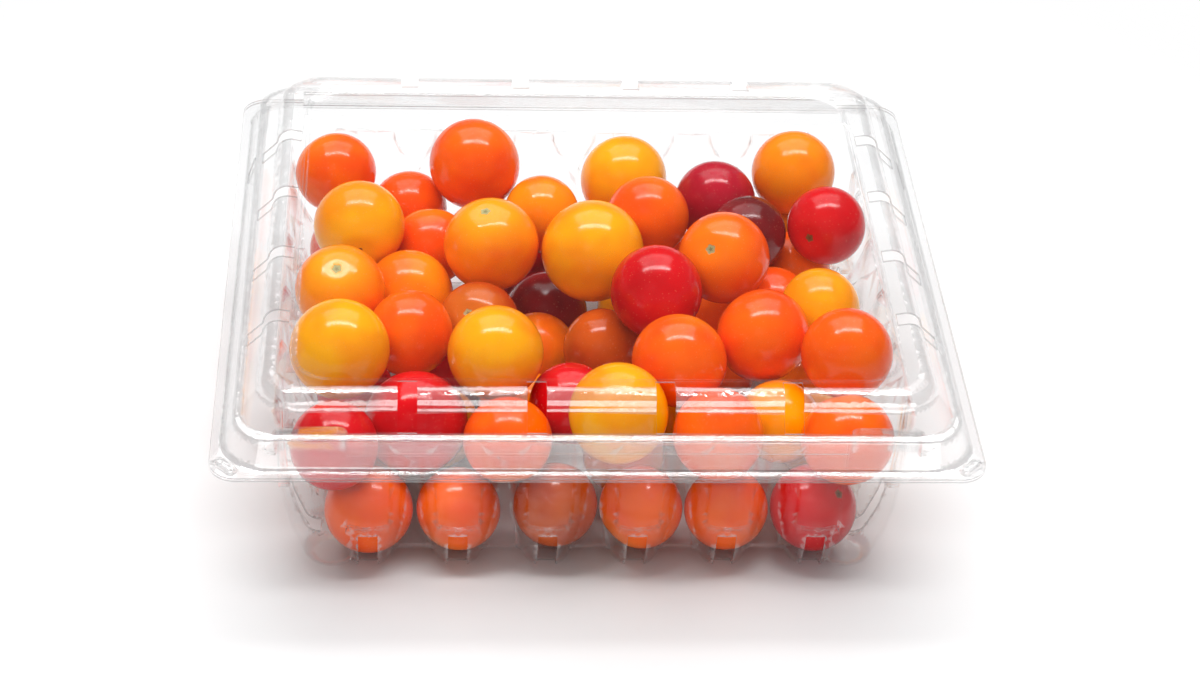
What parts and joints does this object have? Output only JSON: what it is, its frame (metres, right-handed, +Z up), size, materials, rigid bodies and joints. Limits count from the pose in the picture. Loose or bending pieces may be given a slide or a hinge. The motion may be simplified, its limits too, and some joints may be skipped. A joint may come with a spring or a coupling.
{
  "type": "plastic clamshell pack",
  "caption": "Clear hinged clamshell pack with vent slots and a cradled tray, closed over a load of small round tomatoes.",
  "frame": {"origin": "centre of the bounding box on the plane of the feet", "axes": "+X along the front edge to the right, +Y from the front to the hinge at the back, +Z up"},
  "size_m": [0.19, 0.1808, 0.0633],
  "materials": {
    "clear_sheet": "clear glossy formed sheet",
    "skin_orange": "smooth waxy fruit skin",
    "skin_amber": "smooth waxy fruit skin",
    "skin_yellow": "smooth waxy fruit skin",
    "skin_red": "smooth waxy fruit skin",
    "skin_crimson": "smooth waxy fruit skin",
    "skin_brown": "smooth waxy fruit skin",
    "skin_maroon": "smooth waxy fruit skin"
  },
  "bodies": {
    "base": {"inner_tomatoes_amber": "skin_amber", "inner_tomatoes_orange": "skin_orange", "inner_tomatoes_red": "skin_red", "inner_tomatoes_yellow": "skin_yellow", "tomato_01_orange": "skin_orange", "tomato_02_orange": "skin_orange", "tomato_03_amber": "skin_amber", "tomato_04_amber": "skin_amber", "tomato_05_yellow": "skin_yellow", "tomato_06_red": "skin_red", "tomato_07_orange": "skin_orange", "tomato_08_yellow": "skin_yellow", "tomato_09_red": "skin_red", "tomato_10_amber": "skin_amber", "tomato_11_yellow": "skin_yellow", "tomato_12_orange": "skin_orange", "tomato_13_yellow": "skin_yellow", "tomato_14_yellow": "skin_yellow", "tomato_15_orange": "skin_orange", "tomato_16_orange": "skin_orange", "tomato_17_orange": "skin_orange", "tomato_18_orange": "skin_orange", "tomato_19_amber": "skin_amber", "tomato_20_brown": "skin_brown", "tomato_21_maroon": "skin_maroon", "tomato_22_brown": "skin_brown", "tomato_23_orange": "skin_orange", "tomato_24_yellow": "skin_yellow", "tomato_25_crimson": "skin_crimson", "tomato_26_maroon": "skin_maroon", "tomato_27_orange": "skin_orange", "tomato_28_yellow": "skin_yellow", "tomato_29_orange": "skin_orange", "tomato_30_amber": "skin_amber", "tomato_31_orange": "skin_orange", "tomato_32_orange": "skin_orange", "tomato_33_amber": "skin_amber", "tomato_34_red": "skin_red", "tomato_35_red": "skin_red", "tomato_36_yellow": "skin_yellow", "tomato_37_orange": "skin_orange", "tomato_38_orange": "skin_orange", "tomato_39_orange": "skin_orange", "tomato_40_red": "skin_red", "tomato_41_orange": "skin_orange", "tomato_42_orange": "skin_orange", "tomato_43_brown": "skin_brown", "tomato_44_orange": "skin_orange", "tomato_45_orange": "skin_orange", "tomato_46_red": "skin_red", "tray": "clear_sheet"},
    "cover": {"lid": "clear_sheet"}
  },
  "joints": [
    {"name": "lid_hinge", "type": "hinge", "parent": "base", "child": "cover", "pos_m": [0, 0.09058, 0.0465], "axis": [-1, 0, 0], "range_deg": [0, 180]}
  ]
}
